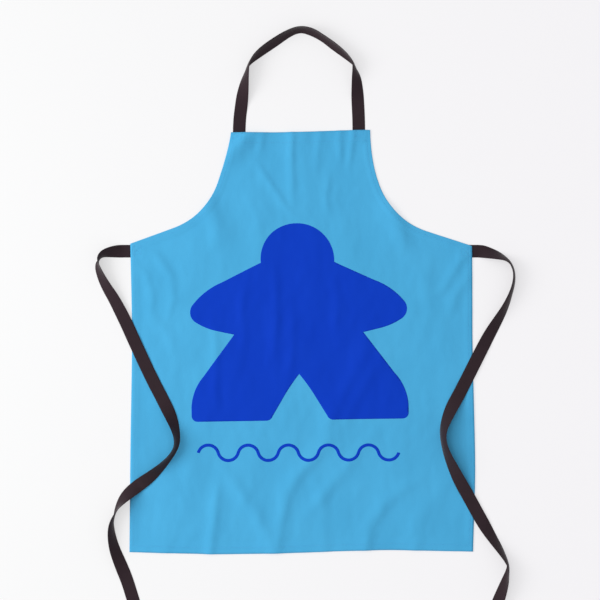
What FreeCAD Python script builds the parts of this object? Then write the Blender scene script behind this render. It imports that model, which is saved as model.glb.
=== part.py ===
import FreeCAD, Part
import math
import os
import Sketcher

# A bib apron lying on its back: +Z is the printed front, +Y points to the neck loop, and the origin
# is under the middle of the panel, on the surface that the apron lies on. Millimetres.

doc = FreeCAD.newDocument("BibApron")

# ---------------------------------------------------------------- driving dimensions
sheet = doc.addObject("Spreadsheet::Sheet", "Sizes")
drivingSizes = [
    ("panelLength", 830),       # top edge of the bib to the bottom hem
    ("bibHalf", 135.5),         # half width of the bib along its top edge
    ("bibHeight", 224.5),       # top edge down to the waist corner
    ("waistHalf", 337),         # half width at the waist corners
    ("skirtHalf", 340),         # half width at the bottom hem
    ("armholeRadius", 360),     # upper, gentle stretch of the armhole
    ("underarmRadius", 150),    # lower, tighter stretch of the armhole
    ("armholeBend", 105),       # top edge down to where the two stretches meet
    ("waistRise", 19),          # slope of the straight end of the armhole, degrees
    ("clothThickness", 0.4),
    ("hemThickness", 0.8),      # cloth turned twice
    ("topHemDepth", 23),
    ("bottomHemDepth", 15),
    ("sideHemDepth", 10),
    ("facingDepth", 10),        # narrow turned edge along each armhole
    ("tapeWidth", 25),
    ("tapeThickness", 0.8),
    ("strapSewn", 20),          # neck strap under the bib
    ("strapRightPlace", 113),   # middle of the strap's right end
    ("tieSewn", 25),            # each tie under the waist corner
    ("inkThickness", 0.1),
    ("figureHeight", 388),
    ("figureMiddle", 39),     # middle of the printed figure above the panel's middle
    ("figureShift", -6),      # and to one side of it
    ("figureTurn", 1),        # degrees anticlockwise
    ("waveLength", 79),
    ("waveCount", 5),
    ("waveSwing", 15),
    ("waveStroke", 6),
    ("waveDrop", 219),          # middle of the wave below the panel's middle
    ("threadWidth", 0.7),
    ("threadHeight", 0.2),
    ("stitchInset", 2),         # stitch line in from the hem's inner edge
    ("boxStitchMargin", 4),     # box stitch in from the tape's sewn end and edges
    ("endFold", 12),            # turned end of each tie
    ("tapeClearance", 0.3),     # free tape above the cloth that it crosses
]
for row, (alias, number) in enumerate(drivingSizes, start=1):
    sheet.set("A%d" % row, alias)
    sheet.set("B%d" % row, str(number))
    sheet.setAlias("B%d" % row, alias)
doc.recompute()


def size(expression):
    """The value of an expression in the sheet's own names, such as panelLength / 2."""
    return float(sheet.evalExpression(expression))


def bound(expression):
    """The same expression written for another object, with each name led by the sheet's."""
    names = sorted((alias for alias, number in drivingSizes), key=len, reverse=True)
    words = expression.replace("(", " ( ").replace(")", " ) ").split()
    return " ".join("Sizes." + word if word in names else word for word in words)


top = "panelLength / 2"
bottom = "-1 * panelLength / 2"
waist = "panelLength / 2 - bibHeight"
clothLow = "hemThickness"
clothHigh = "hemThickness + clothThickness"
pieces = []


# ---------------------------------------------------------------- sketched pieces
def sketchedBody(name, low):
    """A body with an empty sketch that lies flat at the given height."""
    body = doc.addObject("PartDesign::Body", name)
    body.Label = name
    sketch = body.newObject("Sketcher::SketchObject", name + "_outline")
    plane = [item for item in body.Origin.OriginFeatures if item.Role == "XY_Plane"][0]
    sketch.AttachmentSupport = [(plane, "")]
    sketch.MapMode = "FlatFace"
    sketch.setExpression("AttachmentOffset.Base.z", bound(low))
    pieces.append(body)
    return body, sketch


def placePoint(sketch, line, end, place):
    """Ties one end of a line to its coordinates, given as expressions."""
    for kind, expression in zip(("DistanceX", "DistanceY"), place):
        index = sketch.addConstraint(
            Sketcher.Constraint(kind, -1, 1, line, end, size(expression)))
        sketch.setExpression("Constraints[%d]" % index, bound(expression))


def drawLoop(sketch, corners):
    """A closed outline of straight lines through corners given as pairs of expressions."""
    first = sketch.GeometryCount
    spots = [FreeCAD.Vector(size(across), size(along), 0) for across, along in corners]
    count = len(spots)
    for i in range(count):
        sketch.addGeometry(Part.LineSegment(spots[i], spots[(i + 1) % count]), False)
    for i in range(count):
        following = first + (i + 1) % count
        sketch.addConstraint(Sketcher.Constraint("Coincident", first + i, 2, following, 1))
    for i, place in enumerate(corners):
        placePoint(sketch, first + i, 1, place)


def padded(body, sketch, thickness):
    """Pads the sketch upwards by the thickness."""
    pad = body.newObject("PartDesign::Pad", body.Name + "_pad")
    pad.Profile = sketch
    pad.setExpression("Length", bound(thickness))
    return pad


def flatPiece(name, loops, low, thickness):
    """A flat piece from one or two nested straight-sided outlines."""
    body, sketch = sketchedBody(name, low)
    for loop in loops:
        drawLoop(sketch, loop)
    padded(body, sketch, thickness)
    return body


# ---------------------------------------------------------------- panel
def bodyPanel():
    """Half the outline is drawn on the +X side, padded and mirrored."""
    body, sketch = sketchedBody("body_panel", clothLow)
    vector = FreeCAD.Vector
    rise = math.radians(size("waistRise"))
    topEnd = vector(size("bibHalf"), size(top), 0)
    corner = vector(size("waistHalf"), size(waist), 0)
    hemEnd = vector(size("skirtHalf"), size(bottom), 0)
    bend = vector(size("bibHalf") * 1.17, size(top) - size("armholeBend"), 0)
    straight = 0.35 * (corner - bend).Length
    under = corner + vector(-straight * math.cos(rise), straight * math.sin(rise), 0)
    upperMiddle = (topEnd + bend) / 2 - vector(3, 0, 0)
    lowerMiddle = (bend + under) / 2 - vector(18, 15, 0)
    topLine, upperArc, lowerArc, waistLine, sideLine, hemLine, foldLine = range(7)
    sketch.addGeometry(Part.LineSegment(vector(0, topEnd.y, 0), topEnd), False)
    sketch.addGeometry(Part.Arc(topEnd, upperMiddle, bend), False)
    sketch.addGeometry(Part.Arc(bend, lowerMiddle, under), False)
    sketch.addGeometry(Part.LineSegment(under, corner), False)
    sketch.addGeometry(Part.LineSegment(corner, hemEnd), False)
    sketch.addGeometry(Part.LineSegment(hemEnd, vector(0, hemEnd.y, 0)), False)
    sketch.addGeometry(Part.LineSegment(vector(0, hemEnd.y, 0), vector(0, topEnd.y, 0)), False)
    ends = {}
    for arc, first in ((upperArc, topEnd), (lowerArc, bend)):
        begins = sketch.Geometry[arc].StartPoint.distanceToPoint(first) < 0.01
        ends[arc] = (1, 2) if begins else (2, 1)
    limit = Sketcher.Constraint
    sketch.addConstraint([
        limit("Coincident", topLine, 2, upperArc, ends[upperArc][0]),
        limit("Tangent", upperArc, ends[upperArc][1], lowerArc, ends[lowerArc][0]),
        limit("Tangent", lowerArc, ends[lowerArc][1], waistLine, 1),
        limit("Coincident", waistLine, 2, sideLine, 1),
        limit("Coincident", sideLine, 2, hemLine, 1),
        limit("Coincident", hemLine, 2, foldLine, 1),
        limit("Coincident", foldLine, 2, topLine, 1),
        limit("Horizontal", topLine),
        limit("Horizontal", hemLine),
        limit("PointOnObject", foldLine, 1, -2),
        limit("PointOnObject", foldLine, 2, -2),
    ])
    placePoint(sketch, topLine, 2, ("bibHalf", top))
    placePoint(sketch, sideLine, 1, ("waistHalf", waist))
    placePoint(sketch, sideLine, 2, ("skirtHalf", bottom))
    shaped = [
        ("Radius", (upperArc, size("armholeRadius")), "armholeRadius"),
        ("Radius", (lowerArc, size("underarmRadius")), "underarmRadius"),
        ("DistanceY", (-1, 1, upperArc, ends[upperArc][1], bend.y), top + " - armholeBend"),
        ("Angle", (waistLine, -rise), "-1 * waistRise * 1 deg"),
    ]
    for kind, fixed, expression in shaped:
        index = sketch.addConstraint(limit(kind, *fixed))
        sketch.setExpression("Constraints[%d]" % index, bound(expression))
    padded(body, sketch, "clothThickness")
    doc.recompute()
    other = body.newObject("PartDesign::Mirrored", "body_panel_mirrored")
    other.Originals = [body.Tip]
    other.MirrorPlane = (sketch, ["V_Axis"])
    body.Tip = other
    doc.recompute()
    return [sketch.Geometry[i] for i in (upperArc, lowerArc, waistLine)]


armhole = bodyPanel()


# ---------------------------------------------------------------- bands that follow the armhole
def armholeLine(inset):
    """The right armhole moved into the panel: its hollow arcs grow by the inset."""
    upperArc, lowerArc, waistLine = armhole
    edges = []
    for arc in (upperArc, lowerArc):
        grown = (arc.Radius + inset) / arc.Radius
        halfway = (arc.FirstParameter + arc.LastParameter) / 2
        spots = [arc.StartPoint, arc.value(halfway), arc.EndPoint]
        edges.append(Part.Arc(*[arc.Center + (spot - arc.Center) * grown for spot in spots]))
    along = waistLine.EndPoint - waistLine.StartPoint
    along.normalize()
    inwards = FreeCAD.Vector(along.y, -along.x, 0)
    if inwards.y > 0:
        inwards = inwards * -1
    edges.append(Part.LineSegment(waistLine.StartPoint + inwards * inset,
                                  waistLine.EndPoint + inwards * inset))
    return edges


def armholeBand(name, side, outer, inner, low, thickness):
    """A flat band between two insets, from under the top hem to where the tie is sewn."""
    bands = [[edge.toShape() for edge in armholeLine(size(inset))] for inset in (outer, inner)]
    tops = [max((v.Point for v in edges[0].Vertexes), key=lambda p: p.y) for edges in bands]
    tips = [max((v.Point for v in edges[2].Vertexes), key=lambda p: p.x) for edges in bands]
    joins = [Part.makeLine(tops[0], tops[1]), Part.makeLine(tips[0], tips[1])]
    wire = Part.Wire(Part.__sortEdges__(bands[0] + bands[1] + joins))
    band = Part.Face(wire).extrude(FreeCAD.Vector(0, 0, size(thickness)))
    band.translate(FreeCAD.Vector(0, 0, size(low)))
    width = size("waistHalf - tieSewn")
    height = size("panelLength - topHemDepth")
    room = Part.makeBox(width, height, size(low) + size(thickness) + 1,
                        FreeCAD.Vector(0, size(bottom), 0))
    band = band.common(room).Solids[0]
    if side < 0:
        band = band.mirror(FreeCAD.Vector(0, 0, 0), FreeCAD.Vector(1, 0, 0))
    piece = doc.addObject("Part::Feature", name)
    piece.Label = name
    piece.Shape = band
    piece.Placement = FreeCAD.Placement()
    pieces.append(piece)


for side, word in ((-1, "left"), (1, "right")):
    armholeBand(word + "_armhole_facing", side, "0", "facingDepth", "0", "hemThickness")
    armholeBand(word + "_armhole_thread", side, "facingDepth - stitchInset - threadWidth",
                "facingDepth - stitchInset", clothHigh, "threadHeight")


# ---------------------------------------------------------------- hems and their threads
def topHem():
    """Turned behind the bib, with a seat for each end of the neck strap."""
    seat = top + " - strapSewn"
    lowEdge = top + " - topHemDepth"
    leftSeat = "-1 * bibHalf + tapeWidth"
    rightSeat = ("strapRightPlace - tapeWidth / 2", "strapRightPlace + tapeWidth / 2")
    flatPiece("top_hem", [[
        ("-1 * bibHalf", lowEdge), ("bibHalf", lowEdge), ("bibHalf", top),
        (rightSeat[1], top), (rightSeat[1], seat), (rightSeat[0], seat), (rightSeat[0], top),
        (leftSeat, top), (leftSeat, seat), ("-1 * bibHalf", seat),
    ]], "0", "hemThickness")


def straightThread(name, left, right, height):
    """A run of stitches across the panel, its middle at the given height."""
    half = " - threadWidth / 2", " + threadWidth / 2"
    flatPiece(name, [[(left, height + half[0]), (right, height + half[0]),
                      (right, height + half[1]), (left, height + half[1])]],
              clothHigh, "threadHeight")


def sideHem(side, word):
    """Turned behind the skirt from under the tie down to the bottom hem, and its stitches."""
    sign = "%d * " % side
    high = waist + " - tapeWidth"
    low = bottom + " + bottomHemDepth"
    spread = "( skirtHalf - waistHalf ) / ( panelLength - bibHeight )"
    edgeHigh = "( waistHalf + %s * tapeWidth )" % spread
    edgeLow = "( skirtHalf - %s * bottomHemDepth )" % spread
    flatPiece(word + "_side_hem", [[
        (sign + edgeHigh, high), (sign + edgeLow, low),
        (sign + "( %s - sideHemDepth )" % edgeLow, low),
        (sign + "( %s - sideHemDepth )" % edgeHigh, high),
    ]], "0", "hemThickness")
    inner = "sideHemDepth - stitchInset"
    outer = "sideHemDepth - stitchInset - threadWidth"
    flatPiece(word + "_side_thread", [[
        (sign + "( %s - ( %s ) )" % (edgeHigh, outer), high),
        (sign + "( %s - ( %s ) )" % (edgeLow, outer), low),
        (sign + "( %s - ( %s ) )" % (edgeLow, inner), low),
        (sign + "( %s - ( %s ) )" % (edgeHigh, inner), high),
    ]], clothHigh, "threadHeight")


def bottomHem():
    """Turned behind the skirt over its whole width."""
    spread = "( skirtHalf - waistHalf ) / ( panelLength - bibHeight )"
    edge = "( skirtHalf - %s * bottomHemDepth )" % spread
    high = bottom + " + bottomHemDepth"
    flatPiece("bottom_hem", [[
        ("-1 * skirtHalf", bottom), ("skirtHalf", bottom), (edge, high), ("-1 * " + edge, high),
    ]], "0", "hemThickness")


topHem()
bottomHem()
straightThread("top_hem_thread", "-1 * bibHalf", "bibHalf",
               top + " - topHemDepth + stitchInset")
straightThread("bottom_hem_thread", "-1 * skirtHalf + stitchInset", "skirtHalf - stitchInset",
               bottom + " + bottomHemDepth - stitchInset")
for side, word in ((-1, "left"), (1, "right")):
    sideHem(side, word)


# ---------------------------------------------------------------- box stitches over the tape ends
def boxStitch(name, middle, along, halfAcross, halfAlong):
    """A square of stitches: an outline with a smaller one inside it."""
    def frame(inset):
        across = "( %s - %s )" % (halfAcross, inset)
        height = "( %s - %s )" % (halfAlong, inset)
        return [("( %s ) - %s" % (middle, across), "( %s ) - %s" % (along, height)),
                ("( %s ) + %s" % (middle, across), "( %s ) - %s" % (along, height)),
                ("( %s ) + %s" % (middle, across), "( %s ) + %s" % (along, height)),
                ("( %s ) - %s" % (middle, across), "( %s ) + %s" % (along, height))]
    flatPiece(name, [frame("0"), frame("threadWidth")], clothHigh, "threadHeight")


tapeHalf = "( tapeWidth / 2 - boxStitchMargin )"
strapHalf = "( strapSewn / 2 - boxStitchMargin )"
tieHalf = "( tieSewn / 2 - boxStitchMargin )"
strapLeft = "-1 * bibHalf + tapeWidth / 2"
strapMiddle = top + " - strapSewn / 2 + stitchInset"
tieMiddle = waist + " - tapeWidth / 2"
boxStitch("left_strap_stitch", strapLeft, strapMiddle, tapeHalf, strapHalf)
boxStitch("right_strap_stitch", "strapRightPlace", strapMiddle, tapeHalf, strapHalf)
boxStitch("left_tie_stitch", "-1 * waistHalf + tieSewn / 2", tieMiddle, tieHalf, tapeHalf)
boxStitch("right_tie_stitch", "waistHalf - tieSewn / 2", tieMiddle, tieHalf, tapeHalf)


# ---------------------------------------------------------------- prints
def inkPiece(name, edges):
    """A film of ink on the cloth, from the edges of its outline."""
    face = Part.Face(Part.Wire(edges))
    piece = doc.addObject("Part::Feature", name)
    piece.Label = name
    piece.Shape = face.extrude(FreeCAD.Vector(0, 0, size("inkThickness")))
    return piece


def pawnPrint():
    """A round head, short arms and two splayed legs, drawn about its own middle at full size.

    Each stretch is (end,) for a straight line or (middle, end) for an arc.
    """
    drawnHeight = 388.0
    start = (0, 194)
    stretches = [
        ((51, 173), (72, 117)), ((150, 80),), ((188, 58), (208, 38)), ((214, 21), (204, 3)),
        ((188, -6), (158, -16)), ((127, -23),), ((188, -104),), ((207, -134), (214, -165)),
        ((214, -181),), ((211, -190), (203, -194)), ((66, -194),), ((59, -192), (54, -186)),
        ((27, -141),), ((13, -120), (0, -103)),
    ]
    scale = size("figureHeight") / drawnHeight

    def spot(place, side):
        return FreeCAD.Vector(side * place[0] * scale, place[1] * scale, 0)

    edges = []
    for side in (1, -1):
        here = start
        for stretch in stretches:
            ends = [spot(place, side) for place in (here,) + stretch]
            if len(stretch) == 1:
                edges.append(Part.LineSegment(ends[0], ends[1]).toShape())
            else:
                edges.append(Part.Arc(ends[0], ends[1], ends[2]).toShape())
            here = stretch[-1]
    piece = inkPiece("pawn_print", Part.__sortEdges__(edges))
    place = FreeCAD.Vector(size("figureShift"), size("figureMiddle"), size(clothHigh))
    turn = FreeCAD.Rotation(FreeCAD.Vector(0, 0, 1), size("figureTurn"))
    piece.Placement = FreeCAD.Placement(place, turn)
    pieces.append(piece)


def wavePrint():
    """A stroke of even width whose middle line is a row of arcs, up and down in turn."""
    half = size("waveLength") / 2
    swing = size("waveSwing")
    radius = (half * half / 4 + swing * swing) / (2 * swing)
    reach = math.asin(half / 2 / radius)
    stroke = size("waveStroke") / 2
    count = int(size("waveCount")) * 2

    def bow(i, offset):
        sign = 1 if i % 2 == 0 else -1
        middle = FreeCAD.Vector((i + 0.5 - count / 2) * half, sign * (swing - radius), 0)
        length = radius + sign * offset
        ends = []
        for turn in (-reach, 0, reach):
            ends.append(middle + FreeCAD.Vector(length * math.sin(turn),
                                                sign * length * math.cos(turn), 0))
        return ends

    edges = []
    lines = []
    for offset in (stroke, -stroke):
        line = [Part.Arc(*bow(i, offset)).toShape() for i in range(count)]
        lines.append((bow(0, offset)[0], bow(count - 1, offset)[2]))
        edges += line
    edges.append(Part.makeLine(lines[0][0], lines[1][0]))
    edges.append(Part.makeLine(lines[0][1], lines[1][1]))
    piece = inkPiece("wave_print", Part.__sortEdges__(edges))
    place = FreeCAD.Vector(size("figureShift"), -size("waveDrop"), size(clothHigh))
    piece.Placement = FreeCAD.Placement(place, FreeCAD.Rotation())
    pieces.append(piece)


pawnPrint()
wavePrint()

# ---------------------------------------------------------------- tapes
# Each point is across, along and the tape's tilt in degrees: 0 lies flat, 90 stands on edge and
# 180 lies on its other face. The first point is the sewn end.
leftTieRoute = [
    (-312, 178, 0), (-348, 178, 0), (-370, 177, 28), (-390, 173, 58), (-400.5, 163, 90),
    (-402, 150, 119), (-395, 130, 133), (-384, 108, 147), (-369, 84, 160), (-348, 43, 180),
    (-329, 0, 180), (-296, -71, 180), (-272, -117, 178), (-255, -150, 147), (-245, -179, 119),
    (-243.5, -203, 110), (-254, -223, 110), (-274, -245, 125), (-296, -265, 152),
    (-322, -284, 180), (-344, -301, 149), (-360, -320, 116), (-371, -342, 90), (-375, -368, 66),
    (-369, -404, 45), (-357, -436, 23), (-343.5, -471, 0), (-332, -509, 0), (-318, -552, 0),
    (-306, -595, 0), (-300, -640, 0),
]
rightTieRoute = [
    (312, 178, 0), (348, 178, 0), (369, 174.5, 28), (388, 169, 50), (402, 162.5, 70),
    (411, 151, 84), (416.5, 134, 80), (416, 114, 73), (410, 92, 65), (400, 67, 51),
    (386, 42, 35), (371, 16, 16), (353, -19, 0), (331, -63, 0), (309, -106, 0), (294, -132, 23),
    (282.5, -158, 50), (277.5, -178, 65), (279, -199, 69), (286, -221, 58), (297, -246, 41),
    (312, -276, 16), (330, -307, 0), (352, -348, 0), (373, -383, 37), (391, -410, 56),
    (402.5, -431, 74), (405, -447, 90), (400, -471, 119), (388, -508, 147), (374, -548, 180),
    (362, -592, 180), (356, -636, 180),
]
neckStrapRoute = [
    (-123, 395, 0), (-123, 430, 0), (-118.5, 466, 0), (-115, 493, 28), (-110.5, 518, 55),
    (-105.5, 536, 76), (-99.5, 549, 97), (-90, 560, 114), (-74, 573.5, 125), (-50, 590, 127),
    (-25, 606, 117), (-3, 614, 111), (20, 609, 119), (42, 596, 113), (63, 580.5, 119),
    (84, 564, 112), (97.5, 550.5, 98), (104, 537, 70), (108, 520, 42), (109.5, 500, 25),
    (111, 472, 0), (113, 432, 0), (113, 395, 0),
]


def roundedPath(name, route):
    """Straight runs joined by tangent arcs, each as large as its two runs allow.

    Returns stations along the path: place, heading and how far along the route's points.
    """
    share = 0.45
    spots = [FreeCAD.Vector(across, along, 0) for across, along, tilt in route]
    stations = []
    radii = []
    first = (spots[1] - spots[0]).normalize()
    stations.append((spots[0], first, 0.0))
    for i in range(1, len(spots) - 1):
        before = spots[i] - spots[i - 1]
        after = spots[i + 1] - spots[i]
        short = min(before.Length, after.Length)
        inwards, outwards = FreeCAD.Vector(before).normalize(), FreeCAD.Vector(after).normalize()
        turn = inwards.getAngle(outwards)
        side = 1 if inwards.cross(outwards).z > 0 else -1
        radius = share * short / math.tan(turn / 2)
        radii.append(radius)
        begin = spots[i] - inwards * (share * short)
        centre = begin + FreeCAD.Vector(-inwards.y, inwards.x, 0) * (side * radius)
        steps = max(2, math.ceil(math.degrees(turn) / 8))
        for step in range(steps + 1):
            angle = side * turn * step / steps
            spin = FreeCAD.Rotation(FreeCAD.Vector(0, 0, 1), math.degrees(angle))
            place = centre + spin.multVec(begin - centre)
            heading = spin.multVec(inwards)
            fromPoint = share * short / before.Length * (2 * step / steps - 1)
            if fromPoint > 0:
                fromPoint = fromPoint * before.Length / after.Length
            stations.append((place, heading, i + fromPoint))
    last = (spots[-1] - spots[-2]).normalize()
    stations.append((spots[-1], last, len(spots) - 1.0))
    turns = ", ".join("%.0f" % radius for radius in radii)
    print(name, "arc radii:", turns)
    return stations


def tiltAt(route, where):
    """The tilt at a fractional index of the route, in radians."""
    low = min(int(where), len(route) - 2)
    part = where - low
    return math.radians(route[low][2] * (1 - part) + route[low + 1][2] * part)


def clothUnder(place):
    """How high the tape's support is: the floor, or the cloth from just outside the panel's edge."""
    drop = min(1.0, max(0.0, (size(waist) - place.y) / size("panelLength - bibHeight")))
    edge = size("waistHalf") + drop * size("skirtHalf - waistHalf")
    over = min(edge - abs(place.x), size("panelLength / 2") + place.y) + size("tapeWidth")
    share = min(1.0, max(0.0, over / size("tapeWidth / 2")))
    return share * size(clothHigh + " + threadHeight + tapeClearance")


def tapeSection(place, heading, tilt, support):
    """The corners of the tape's section, which stands on its support on its lowest corner."""
    halfWidth = size("tapeWidth / 2")
    halfThick = size("tapeThickness / 2")
    side = FreeCAD.Vector(-heading.y, heading.x, 0)
    upwards = FreeCAD.Vector(0, 0, 1)
    across = side * math.cos(tilt) + upwards * math.sin(tilt)
    through = side * -math.sin(tilt) + upwards * math.cos(tilt)
    height = support + halfWidth * abs(math.sin(tilt)) + halfThick * abs(math.cos(tilt))
    middle = FreeCAD.Vector(place.x, place.y, height)
    signs = ((-1, -1), (1, -1), (1, 1), (-1, 1))
    return [middle + across * (a * halfWidth) + through * (b * halfThick) for a, b in signs]


def tapeSolid(sections):
    """A closed solid whose sides are ruled from each section's edges to the next one's."""
    faces = [Part.Face(Part.makePolygon(section + section[:1]))
             for section in (sections[0], sections[-1])]
    for lower, upper in zip(sections, sections[1:]):
        for i in range(4):
            j = (i + 1) % 4
            faces.append(Part.makeRuledSurface(Part.makeLine(lower[i], lower[j]),
                                               Part.makeLine(upper[i], upper[j])))
    shell = Part.makeShell(faces)
    shell.sewShape()
    return Part.makeSolid(shell)


def tape(name, route, underCloth):
    """A flat woven tape that twists on to its edge in the bends."""
    sections = []
    for place, heading, where in roundedPath(name, route):
        support = 0.0 if where < underCloth else clothUnder(place)
        sections.append(tapeSection(place, heading, tiltAt(route, where), support))
    middles = [(corners[0] + corners[2]) / 2 for corners in sections]
    length = sum(a.distanceToPoint(b) for a, b in zip(middles, middles[1:]))
    solid = tapeSolid(sections)
    expected = length * size("tapeWidth * tapeThickness")
    print(name, "length %.0f mm, volume %.3f of its section times its length"
          % (length, solid.Volume / expected))
    piece = doc.addObject("Part::Feature", name)
    piece.Label = name
    piece.Shape = solid
    piece.Placement = FreeCAD.Placement()
    pieces.append(piece)


def seated(route, firstSeat, lastSeat=None):
    """The route moved so that its sewn ends lie at their seats.

    Where both ends are sewn, the points between share the two moves by their place in the row,
    and the two at each end keep together, so that the tape leaves its seat straight.
    """
    firstMove = (firstSeat[0] - route[0][0], firstSeat[1] - route[0][1])
    lastMove = firstMove
    if lastSeat is not None:
        lastMove = (lastSeat[0] - route[-1][0], lastSeat[1] - route[-1][1])
    moved = []
    for i, (across, along, tilt) in enumerate(route):
        part = min(1.0, max(0.0, (i - 1) / (len(route) - 3)))
        moved.append((across + firstMove[0] * (1 - part) + lastMove[0] * part,
                      along + firstMove[1] * (1 - part) + lastMove[1] * part, tilt))
    return moved


waistSeat = size("waistHalf - tieSewn"), size(waist + " - tapeWidth / 2")
strapLeftSeat = -size("bibHalf - tapeWidth / 2"), size(top + " - strapSewn")
strapRightSeat = size("strapRightPlace"), size(top + " - strapSewn")
leftTieRoute = seated(leftTieRoute, (-waistSeat[0], waistSeat[1]))
rightTieRoute = seated(rightTieRoute, waistSeat)
neckStrapRoute = seated(neckStrapRoute, strapLeftSeat, strapRightSeat)
tieLeavesCloth = 2.5    # points along the route where a tie is clear of the panel that covers it
tape("neck_strap", neckStrapRoute, len(neckStrapRoute))
tape("left_tie", leftTieRoute, tieLeavesCloth)
tape("right_tie", rightTieRoute, tieLeavesCloth)


# ---------------------------------------------------------------- turned ends of the ties
def tieEnd(word, route):
    """The end of a tie folded over on top of itself, and the stitches that hold it."""
    end = FreeCAD.Vector(route[-1][0], route[-1][1], 0)
    before = FreeCAD.Vector(route[-2][0], route[-2][1], 0)
    angle = math.degrees(math.atan2(end.y - before.y, end.x - before.x))
    turn = FreeCAD.Rotation(FreeCAD.Vector(0, 0, 1), angle)
    parts = [
        ("_tie_end_fold", "endFold", "tapeThickness", "tapeThickness", "0"),
        ("_tie_end_thread", "threadWidth", "threadHeight", "2 * tapeThickness",
         "endFold - stitchInset"),
    ]
    for name, along, thickness, low, back in parts:
        box = doc.addObject("Part::Box", word + name)
        box.Label = word + name
        box.setExpression("Length", bound(along))
        box.setExpression("Width", bound("tapeWidth"))
        box.setExpression("Height", bound(thickness))
        corner = FreeCAD.Vector(-size(along) - size(back), -size("tapeWidth / 2"), size(low))
        box.Placement = FreeCAD.Placement(end + turn.multVec(corner), turn)
        pieces.append(box)


tieEnd("left", leftTieRoute)
tieEnd("right", rightTieRoute)

# ---------------------------------------------------------------- check and write
doc.recompute()
for item in doc.Objects:
    if "Invalid" in item.State or "Error" in item.State:
        raise RuntimeError("%s: %s" % (item.Name, item.State))
for piece in pieces:
    if piece.Shape.isNull() or not piece.Shape.isValid() or not piece.Shape.Solids:
        raise RuntimeError(piece.Label + " has no valid solid")
os.makedirs("parts", exist_ok=True)
for piece in pieces:
    piece.Shape.exportStep("parts/%s.step" % piece.Label)
print(len(pieces), "sub-parts written")
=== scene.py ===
import math
import bmesh
import bpy
import numpy as np
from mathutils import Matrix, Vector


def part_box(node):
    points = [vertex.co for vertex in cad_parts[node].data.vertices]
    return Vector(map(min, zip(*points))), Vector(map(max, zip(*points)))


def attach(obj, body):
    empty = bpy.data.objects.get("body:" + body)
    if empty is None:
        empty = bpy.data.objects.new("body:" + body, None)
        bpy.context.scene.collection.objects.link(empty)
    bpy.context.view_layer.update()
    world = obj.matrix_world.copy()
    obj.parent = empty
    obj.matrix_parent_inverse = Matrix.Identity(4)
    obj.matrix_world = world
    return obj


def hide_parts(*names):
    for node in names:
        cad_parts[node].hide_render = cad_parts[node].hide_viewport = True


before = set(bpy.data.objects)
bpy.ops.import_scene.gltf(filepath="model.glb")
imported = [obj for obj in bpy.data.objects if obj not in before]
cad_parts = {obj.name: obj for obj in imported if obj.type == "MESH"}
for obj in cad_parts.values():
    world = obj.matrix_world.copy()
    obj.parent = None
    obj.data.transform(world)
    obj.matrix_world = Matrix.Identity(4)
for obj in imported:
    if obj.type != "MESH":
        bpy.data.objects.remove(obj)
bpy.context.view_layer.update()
mm = 0.001
print("frame loaded:", len(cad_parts), "nodes")


# Camera: straight above the apron, as it lies on its back

cameraSettings = {"aim": (-0.003, 0.0818), "height": 2.793, "lens": 85, "sensor": 36}


def placeCamera():
    data = bpy.data.cameras.new("camera")
    data.lens = cameraSettings["lens"]
    data.sensor_width = cameraSettings["sensor"]
    data.clip_end = 50
    camera = bpy.data.objects.new("camera", data)
    camera.location = (*cameraSettings["aim"], cameraSettings["height"])
    bpy.context.collection.objects.link(camera)
    bpy.context.scene.camera = camera


placeCamera()


# Meshes from arrays

def addObject(name, mesh):
    piece = bpy.data.objects.new(name, mesh)
    bpy.context.collection.objects.link(piece)
    return piece


def gridFaces(rows, columns, wrap=False, split=False):
    # face (i, j) joins grid points (i, j), (i, j+1), (i+1, j+1) and (i+1, j); wrap closes each row,
    # and split cuts each face along the line from (i, j) to (i+1, j+1)
    i, j = np.meshgrid(np.arange(rows - 1), np.arange(columns if wrap else columns - 1), indexing="ij")
    k = (j + 1) % columns
    ring = [i * columns + j, i * columns + k, (i + 1) * columns + k, (i + 1) * columns + j]
    if split:
        halves = [np.stack([ring[n] for n in half], axis=-1) for half in ((0, 1, 2), (0, 2, 3))]
        return np.stack(halves, axis=-2).reshape(-1, 3)
    return np.stack(ring, axis=-1).reshape(-1, 4)


def setUv(mesh, uv):
    corner = np.empty(len(mesh.loops), dtype=np.int32)
    mesh.loops.foreach_get("vertex_index", corner)
    layer = mesh.uv_layers.new(name="UVMap")
    layer.data.foreach_set("uv", uv[corner].astype(np.float32).ravel())


def gridMesh(name, points, uv, wrap=False, caps=False, split=False):
    # points and uv are rows x columns arrays; caps close the first and last row of a tube
    rows, columns = points.shape[:2]
    faces = gridFaces(rows, columns, wrap, split).tolist()
    if caps:
        faces.append(list(range(columns))[::-1])
        faces.append([(rows - 1) * columns + j for j in range(columns)])
    mesh = bpy.data.meshes.new(name)
    mesh.from_pydata(points.reshape(-1, 3).tolist(), [], faces)
    setUv(mesh, uv.reshape(-1, 2))
    mesh.polygons.foreach_set("use_smooth", [True] * len(mesh.polygons))
    return mesh


def thicken(piece, thickness, offset):
    skin = piece.modifiers.new("thickness", "SOLIDIFY")
    skin.thickness = thickness
    skin.offset = offset
    skin.use_even_offset = False


# Cloth panel: its outline comes from the CAD panel, its folds from the list below

cloth = {
    "spacing": 4 * mm,          # grid step
    "thickness": 0.5 * mm,
    "hemThickness": 0.8 * mm,
    "topHem": 23 * mm,
    "bottomHem": 15 * mm,
    "sideHem": 10 * mm,
    "tieSeat": 25 * mm,
    "ease": 9 * mm,             # run of the slope beside each hem
    "strapLeft": -123 * mm,     # middles of the neck strap's two ends
    "strapRight": 113 * mm,
    "strapSeat": 20 * mm,
    "ripple": 0.0024,           # height of each fine wave over its length
    "rippleBase": 0.7 * mm,     # and the cloth's mean height over the table
    "calmEdge": 60 * mm,        # the unevenness fades toward the side edges
    "seed": 7,
}

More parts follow.
